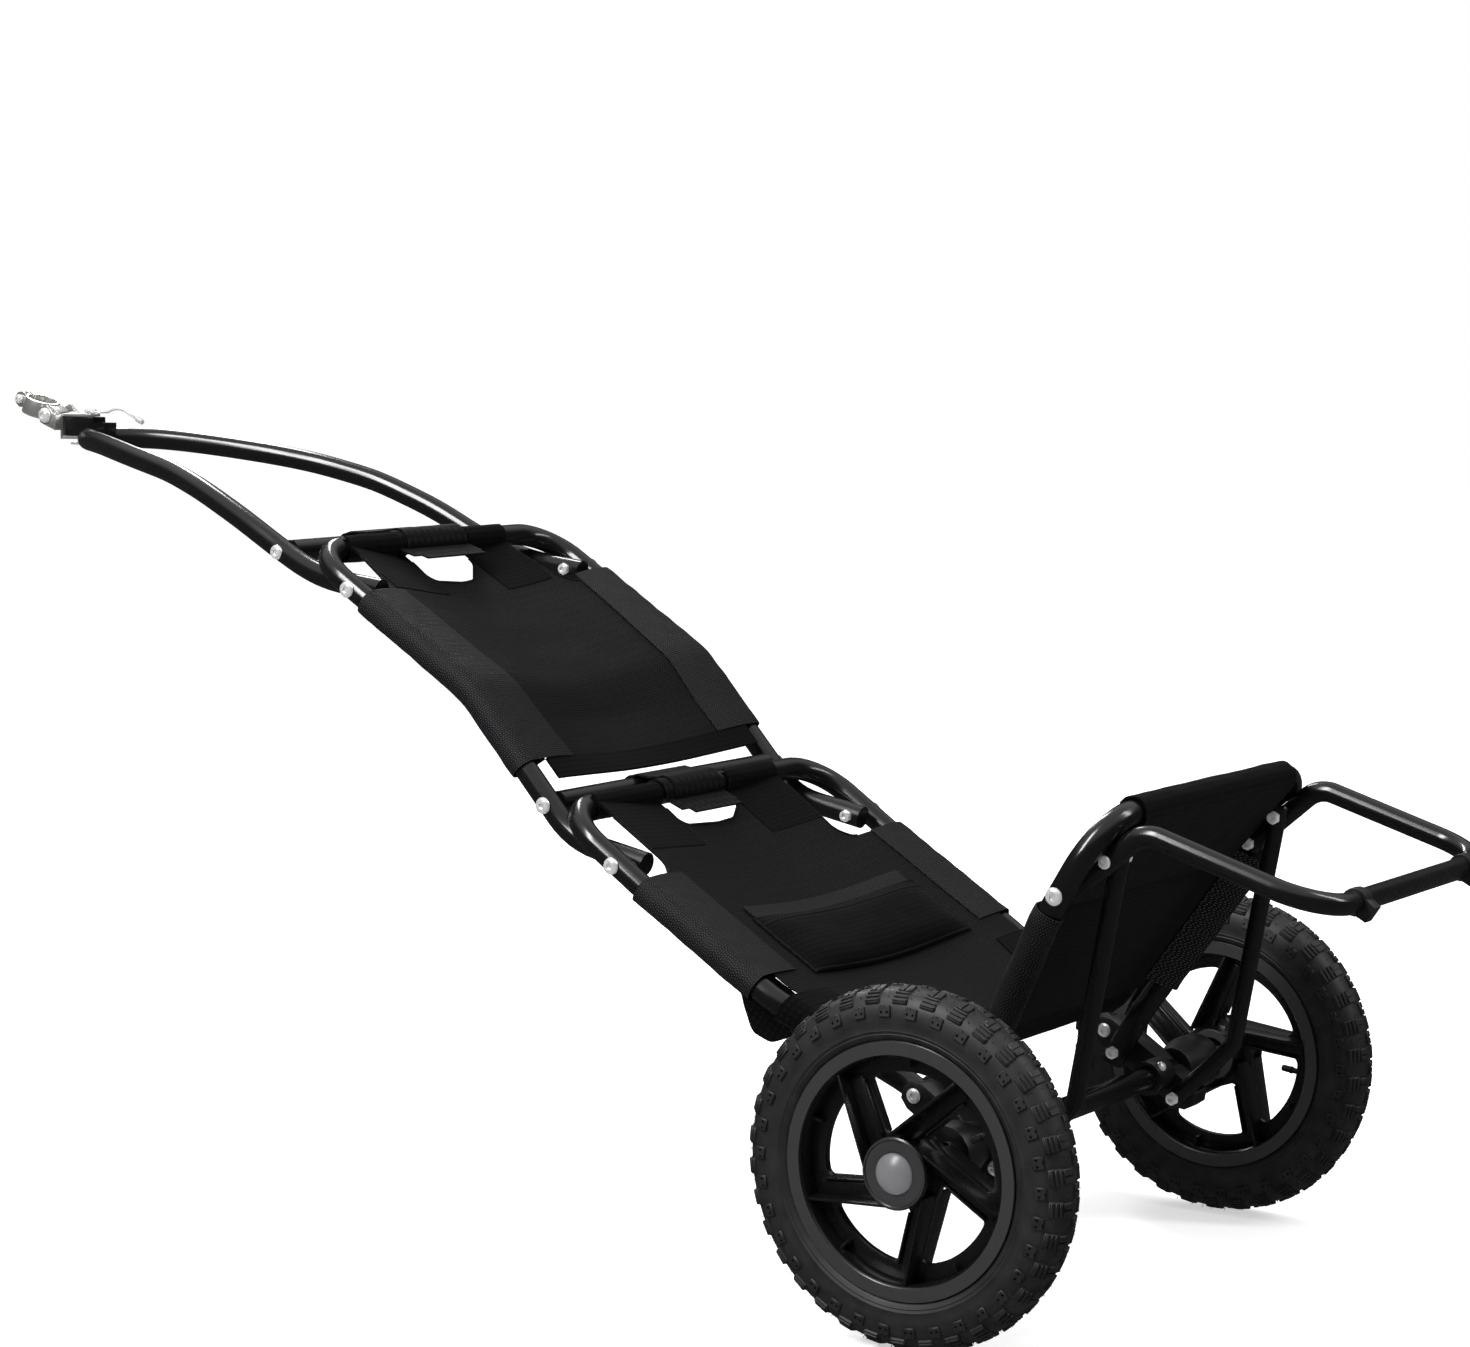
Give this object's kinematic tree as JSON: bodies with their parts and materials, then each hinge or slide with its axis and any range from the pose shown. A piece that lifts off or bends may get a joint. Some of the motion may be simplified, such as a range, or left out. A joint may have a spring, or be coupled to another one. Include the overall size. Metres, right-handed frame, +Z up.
{
  "type": "bike cargo trailer",
  "caption": "Folding two-wheel bike cargo trailer: cloth panels on a tube frame, raised rear seat with stand, curved drawbar and seat post hitch.",
  "frame": {"origin": "centre of the seat post clamp; the floor is 0.765 m below", "axes": "+X runs back from the hitch along the trailer, +Y to its right side seen from behind the bike looking ahead along -X, +Z up"},
  "size_m": [1.6292, 0.6494, 0.781],
  "materials": {
    "coated_steel": "gloss black powder coat",
    "cast_bracket": "satin black",
    "bright_steel": "bright plated screws and pins",
    "hitch_steel": "plated and brushed pressed steel",
    "black_cloth": "plain black woven cloth",
    "mesh_cloth": "dark grey open mesh",
    "tyre_rubber": "matt black rubber with blocks",
    "wheel_plastic": "satin black moulding",
    "cap_plastic": "grey domed cap",
    "black_plastic": "satin black",
    "wire": "twisted wire"
  },
  "bodies": {
    "chassis": {"lower_frame_tube": "coated_steel", "axle_bracket_left": "cast_bracket", "axle_bracket_right": "cast_bracket", "axle_tube": "coated_steel", "axle_shaft": "bright_steel", "frame_rivet_left": "bright_steel", "frame_rivet_right": "bright_steel", "seat_hinge_screw_left": "bright_steel", "seat_hinge_screw_right": "bright_steel", "strut_foot_screw_left": "bright_steel", "strut_foot_screw_right": "bright_steel", "collar_screw_left": "bright_steel", "collar_screw_right": "bright_steel", "frame_hinge_screw_left": "bright_steel", "frame_hinge_screw_right": "bright_steel", "lower_panel": "mesh_cloth", "pouch": "black_cloth", "frame_strap": "black_cloth"},
    "wheel_left": {"tyre_left": "tyre_rubber", "wheel_rim_left": "wheel_plastic", "hub_bush_left": "black_plastic", "hub_cap_left": "cap_plastic", "valve_left": "black_plastic"},
    "wheel_right": {"tyre_right": "tyre_rubber", "wheel_rim_right": "wheel_plastic", "hub_bush_right": "black_plastic", "hub_cap_right": "cap_plastic", "valve_right": "black_plastic"},
    "upper_frame": {"upper_frame_tube": "coated_steel", "upper_cross_tube": "coated_steel", "drawbar_pivot_screw_left": "bright_steel", "drawbar_pivot_screw_right": "bright_steel", "upper_panel": "black_cloth", "drawbar_strap": "black_cloth"},
    "drawbar": {"drawbar_leg_left": "coated_steel", "drawbar_leg_right": "coated_steel", "drawbar_cross_tube": "coated_steel", "tongue_block": "coated_steel"},
    "hitch_clevis": {"clevis": "hitch_steel", "pitch_screw": "bright_steel"},
    "hitch_pin": {"hitch_pin": "bright_steel", "pin_lanyard": "wire"},
    "r_clip": {"r_clip": "bright_steel"},
    "clamp": {"seatpost_clamp": "hitch_steel", "clamp_screw": "bright_steel"},
    "seat": {"seat_loop": "coated_steel", "seat_sheet": "black_cloth", "stand_hinge_screw_left": "bright_steel", "stand_hinge_screw_right": "bright_steel"},
    "stand": {"stand_loop": "coated_steel", "stand_foot_left": "black_plastic", "stand_foot_right": "black_plastic", "stand_pin_left": "bright_steel", "stand_pin_right": "bright_steel"},
    "struts": {"strut_left": "coated_steel", "strut_right": "coated_steel", "strut_nut_left": "bright_steel", "strut_nut_right": "bright_steel"}
  },
  "joints": [
    {"name": "wheel_spin_left", "type": "hinge", "parent": "chassis", "child": "wheel_left", "pos_m": [1.26, -0.2932, -0.61], "axis": [0, 1, 0], "continuous": true},
    {"name": "wheel_spin_right", "type": "hinge", "parent": "chassis", "child": "wheel_right", "pos_m": [1.26, 0.2932, -0.61], "axis": [0, 1, 0], "continuous": true},
    {"name": "upper_frame_fold", "type": "hinge", "parent": "chassis", "child": "upper_frame", "pos_m": [0.90712, 0, -0.3942], "axis": [0, 1, 0], "range_deg": [-150, 0]},
    {"name": "drawbar_fold", "type": "hinge", "parent": "upper_frame", "child": "drawbar", "pos_m": [0.58246, 0, -0.16093], "axis": [0, -1, 0], "range_deg": [0, 145]},
    {"name": "hitch_yaw", "type": "hinge", "parent": "drawbar", "child": "hitch_clevis", "pos_m": [0.072, 0, -0.01], "axis": [0, 0, 1], "range_deg": [-30, 30]},
    {"name": "hitch_pitch", "type": "hinge", "parent": "hitch_clevis", "child": "clamp", "pos_m": [0.0257, 0, -0.0083], "axis": [0, 1, 0], "range_deg": [-20, 20]},
    {"name": "hitch_pin_lift", "type": "slide", "parent": "hitch_clevis", "child": "hitch_pin", "axis": [0, 0, 1], "range_m": [0, 0.0035]},
    {"name": "clip_pull", "type": "slide", "parent": "hitch_pin", "child": "r_clip", "axis": [-1, 0, 0], "range_m": [0, 0.018]},
    {"name": "seat_fold", "type": "hinge", "parent": "chassis", "child": "seat", "pos_m": [1.22346, 0, -0.58968], "axis": [0, 1, 0], "range_deg": [-50, 0]},
    {"name": "stand_fold", "type": "hinge", "parent": "seat", "child": "stand", "pos_m": [1.34701, 0, -0.38567], "axis": [0, 1, 0], "range_deg": [0, 71.25]},
    {"name": "strut_fold", "type": "hinge", "parent": "chassis", "child": "struts", "pos_m": [1.28204, 0, -0.62801], "axis": [0, 1, 0], "range_deg": [-39.6, 0]}
  ],
  "couplings": [
    {"joint": "stand_fold", "follows": "seat_fold", "ratio": -1.423},
    {"joint": "strut_fold", "follows": "seat_fold", "ratio": 0.791}
  ]
}
